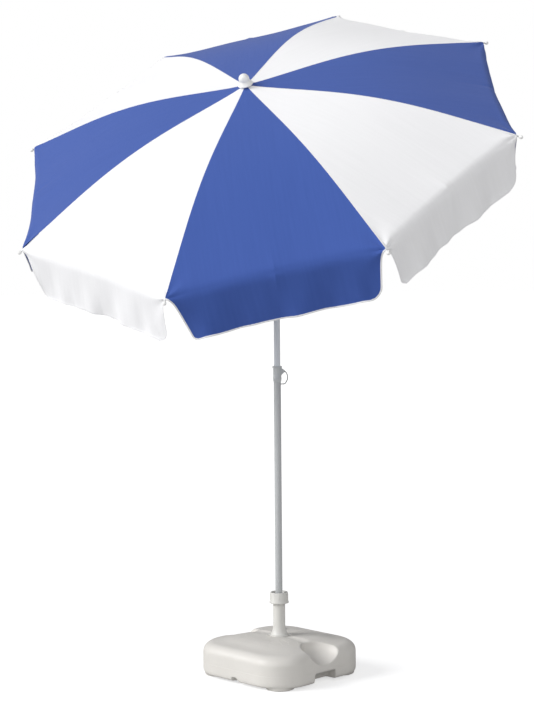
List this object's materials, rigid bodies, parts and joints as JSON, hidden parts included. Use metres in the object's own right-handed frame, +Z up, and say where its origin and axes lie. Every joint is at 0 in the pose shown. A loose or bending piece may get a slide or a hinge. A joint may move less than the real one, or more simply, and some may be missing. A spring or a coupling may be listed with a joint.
{
  "type": "beach umbrella",
  "caption": "Tilting beach umbrella with a domed two-tone fabric canopy, hanging valance, telescopic painted pole and filled plastic base.",
  "frame": {"origin": "middle of the base's footprint, on the ground, under the pole's axis", "axes": "+Z up along the pole; +X and +Y square to the base's sides, with the carrying handles on +X and -X; the canopy leans between +X and -Y"},
  "size_m": [1.6982, 1.4917, 2.3896],
  "materials": {
    "base_plastic": "moulded, fine satin",
    "joint_plastic": "moulded, satin",
    "white_plastic": "moulded, semi-gloss",
    "pole_paint": "powder coated, satin",
    "rib_steel": "lacquered steel",
    "wire_steel": "drawn wire",
    "cloth_blue": "woven polyester",
    "cloth_white": "woven polyester"
  },
  "bodies": {
    "base": {"base_tank": "base_plastic", "socket_tube": "base_plastic", "collet_sleeve": "base_plastic"},
    "filler_cap": {"filler_cap": "base_plastic"},
    "clamp_nut": {"clamp_nut": "base_plastic"},
    "lower_pole": {"lower_pole": "pole_paint", "pole_foot_plug": "joint_plastic", "height_collar": "joint_plastic"},
    "locking_clip": {"locking_clip": "wire_steel"},
    "upper_pole": {"upper_pole": "pole_paint", "tilt_fork": "joint_plastic", "tilt_pin": "wire_steel"},
    "tilt_button": {"tilt_button": "white_plastic"},
    "head": {"tilt_knuckle": "joint_plastic", "head_pole": "pole_paint", "crown": "white_plastic", "crown_wire": "wire_steel", "finial": "white_plastic"},
    "runner": {"runner": "white_plastic"},
    "runner_catch": {"runner_catch": "joint_plastic"},
    "rib_1": {"rib_1": "rib_steel", "rib_tip_1": "white_plastic", "cover_1_after_white": "cloth_white", "cover_1_before_blue": "cloth_blue"},
    "strut_1": {"strut_1": "rib_steel"},
    "rib_2": {"rib_2": "rib_steel", "rib_tip_2": "white_plastic", "cover_2_after_blue": "cloth_blue", "cover_2_before_white": "cloth_white"},
    "strut_2": {"strut_2": "rib_steel"},
    "rib_3": {"rib_3": "rib_steel", "rib_tip_3": "white_plastic", "cover_3_after_white": "cloth_white", "cover_3_before_blue": "cloth_blue"},
    "strut_3": {"strut_3": "rib_steel"},
    "rib_4": {"rib_4": "rib_steel", "rib_tip_4": "white_plastic", "cover_4_after_blue": "cloth_blue", "cover_4_before_white": "cloth_white"},
    "strut_4": {"strut_4": "rib_steel"},
    "rib_5": {"rib_5": "rib_steel", "rib_tip_5": "white_plastic", "cover_5_after_white": "cloth_white", "cover_5_before_blue": "cloth_blue"},
    "strut_5": {"strut_5": "rib_steel"},
    "rib_6": {"rib_6": "rib_steel", "rib_tip_6": "white_plastic", "cover_6_after_blue": "cloth_blue", "cover_6_before_white": "cloth_white"},
    "strut_6": {"strut_6": "rib_steel"},
    "rib_7": {"rib_7": "rib_steel", "rib_tip_7": "white_plastic", "cover_7_after_white": "cloth_white", "cover_7_before_blue": "cloth_blue"},
    "strut_7": {"strut_7": "rib_steel"},
    "rib_8": {"rib_8": "rib_steel", "rib_tip_8": "white_plastic", "cover_8_after_blue": "cloth_blue", "cover_8_before_white": "cloth_white"},
    "strut_8": {"strut_8": "rib_steel"}
  },
  "joints": [
    {"name": "filler_cap_turn", "type": "hinge", "parent": "base", "child": "filler_cap", "pos_m": [-0.07425, 0.07425, 0.14], "axis": [0, 0, 1], "range_deg": [0, 360]},
    {"name": "clamp_nut_turn", "type": "hinge", "parent": "base", "child": "clamp_nut", "pos_m": [0, 0, 0.276], "axis": [0, 0, 1], "range_deg": [0, 270]},
    {"name": "pole_swivel", "type": "hinge", "parent": "base", "child": "lower_pole", "pos_m": [0, 0, 0.276], "axis": [0, 0, 1], "continuous": true},
    {"name": "clip_swing", "type": "hinge", "parent": "lower_pole", "child": "locking_clip", "pos_m": [0.01662, 0.01662, 1.074], "axis": [0.7071, -0.7071, 0], "range_deg": [0, 50]},
    {"name": "height_slide", "type": "slide", "parent": "lower_pole", "child": "upper_pole", "axis": [0, 0, 1], "range_m": [-0.5, 0.3]},
    {"name": "tilt", "type": "hinge", "parent": "upper_pole", "child": "head", "pos_m": [0, 0, 1.681], "axis": [0.9239, 0.3827, 0], "range_deg": [-35.2, 0]},
    {"name": "tilt_button_press", "type": "slide", "parent": "upper_pole", "child": "tilt_button", "axis": [-0.9239, -0.3827, 0], "range_m": [0, 0.002], "stiffness_N_per_m": 500},
    {"name": "runner_slide", "type": "slide", "parent": "head", "child": "runner", "axis": [-0.2206, 0.5326, -0.8171], "range_m": [0, 0.2382]},
    {"name": "runner_catch_press", "type": "slide", "parent": "runner", "child": "runner_catch", "axis": [-0.3127, 0.7549, 0.5764], "range_m": [0, 0.002], "stiffness_N_per_m": 500},
    {"name": "rib_1_fold", "type": "hinge", "parent": "head", "child": "rib_1", "pos_m": [0.08759, -0.249, 2.03048], "axis": [0.8675, -0.2758, -0.414], "range_deg": [0, 55.05], "deforming": ["cover_1_after_white", "cover_1_before_blue"]},
    {"name": "strut_1_fold", "type": "hinge", "parent": "rib_1", "child": "strut_1", "pos_m": [-0.00772, -0.3942, 1.92749], "axis": [0.8675, -0.2758, -0.414], "range_deg": [-88.02, 0]},
    {"name": "rib_2_fold", "type": "hinge", "parent": "head", "child": "rib_2", "pos_m": [0.10247, -0.24821, 2.02697], "axis": [0.9287, 0.3708, -0.0091], "range_deg": [0, 55.05], "deforming": ["cover_2_after_blue", "cover_2_before_white"]},
    {"name": "strut_2_fold", "type": "hinge", "parent": "rib_2", "child": "strut_2", "pos_m": [0.15596, -0.38555, 1.88895], "axis": [0.9287, 0.3708, -0.0091], "range_deg": [-88.02, 0]},
    {"name": "rib_3_fold", "type": "hinge", "parent": "head", "child": "rib_3", "pos_m": [0.11386, -0.23851, 2.03022], "axis": [0.4458, 0.8002, 0.4011], "range_deg": [0, 55.05], "deforming": ["cover_3_after_white", "cover_3_before_blue"]},
    {"name": "strut_3_fold", "type": "hinge", "parent": "rib_3", "child": "strut_3", "pos_m": [0.28122, -0.27884, 1.92467], "axis": [0.4458, 0.8002, 0.4011], "range_deg": [-88.02, 0]},
    {"name": "rib_4_fold", "type": "hinge", "parent": "head", "child": "rib_4", "pos_m": [0.11508, -0.22558, 2.03832], "axis": [-0.2982, 0.7609, 0.5764], "range_deg": [0, 55.05], "deforming": ["cover_4_after_blue", "cover_4_before_white"]},
    {"name": "strut_4_fold", "type": "hinge", "parent": "rib_4", "child": "strut_4", "pos_m": [0.29467, -0.13659, 2.01375], "axis": [-0.2982, 0.7609, 0.5764], "range_deg": [-88.02, 0]},
    {"name": "rib_5_fold", "type": "hinge", "parent": "head", "child": "rib_5", "pos_m": [0.10543, -0.21699, 2.04652], "axis": [-0.8675, 0.2758, 0.414], "range_deg": [0, 55.05], "deforming": ["cover_5_after_white", "cover_5_before_blue"]},
    {"name": "strut_5_fold", "type": "hinge", "parent": "rib_5", "child": "strut_5", "pos_m": [0.18845, -0.04212, 2.104], "axis": [-0.8675, 0.2758, 0.414], "range_deg": [-88.02, 0]},
    {"name": "rib_6_fold", "type": "hinge", "parent": "head", "child": "rib_6", "pos_m": [0.09055, -0.21777, 2.05003], "axis": [-0.9287, -0.3708, 0.0091], "range_deg": [0, 55.05], "deforming": ["cover_6_after_blue", "cover_6_before_white"]},
    {"name": "strut_6_fold", "type": "hinge", "parent": "rib_6", "child": "strut_6", "pos_m": [0.02477, -0.05077, 2.14254], "axis": [-0.9287, -0.3708, 0.0091], "range_deg": [-88.02, 0]},
    {"name": "rib_7_fold", "type": "hinge", "parent": "head", "child": "rib_7", "pos_m": [0.07916, -0.22748, 2.04678], "axis": [-0.4458, -0.8002, -0.4011], "range_deg": [0, 55.05], "deforming": ["cover_7_after_white", "cover_7_before_blue"]},
    {"name": "strut_7_fold", "type": "hinge", "parent": "rib_7", "child": "strut_7", "pos_m": [-0.10049, -0.15748, 2.10681], "axis": [-0.4458, -0.8002, -0.4011], "range_deg": [-88.02, 0]},
    {"name": "rib_8_fold", "type": "hinge", "parent": "head", "child": "rib_8", "pos_m": [0.07794, -0.24041, 2.03868], "axis": [0.2982, -0.7609, -0.5764], "range_deg": [0, 55.05], "deforming": ["cover_8_after_blue", "cover_8_before_white"]},
    {"name": "strut_8_fold", "type": "hinge", "parent": "rib_8", "child": "strut_8", "pos_m": [-0.11394, -0.29973, 2.01774], "axis": [0.2982, -0.7609, -0.5764], "range_deg": [-88.02, 0]}
  ],
  "couplings": [
    {"joint": "rib_1_fold", "follows": "runner_slide", "rad_per_m": 4.0299},
    {"joint": "strut_1_fold", "follows": "runner_slide", "rad_per_m": -6.4422},
    {"joint": "rib_2_fold", "follows": "runner_slide", "rad_per_m": 4.0299},
    {"joint": "strut_2_fold", "follows": "runner_slide", "rad_per_m": -6.4422},
    {"joint": "rib_3_fold", "follows": "runner_slide", "rad_per_m": 4.0299},
    {"joint": "strut_3_fold", "follows": "runner_slide", "rad_per_m": -6.4422},
    {"joint": "rib_4_fold", "follows": "runner_slide", "rad_per_m": 4.0299},
    {"joint": "strut_4_fold", "follows": "runner_slide", "rad_per_m": -6.4422},
    {"joint": "rib_5_fold", "follows": "runner_slide", "rad_per_m": 4.0299},
    {"joint": "strut_5_fold", "follows": "runner_slide", "rad_per_m": -6.4422},
    {"joint": "rib_6_fold", "follows": "runner_slide", "rad_per_m": 4.0299},
    {"joint": "strut_6_fold", "follows": "runner_slide", "rad_per_m": -6.4422},
    {"joint": "rib_7_fold", "follows": "runner_slide", "rad_per_m": 4.0299},
    {"joint": "strut_7_fold", "follows": "runner_slide", "rad_per_m": -6.4422},
    {"joint": "rib_8_fold", "follows": "runner_slide", "rad_per_m": 4.0299},
    {"joint": "strut_8_fold", "follows": "runner_slide", "rad_per_m": -6.4422}
  ]
}
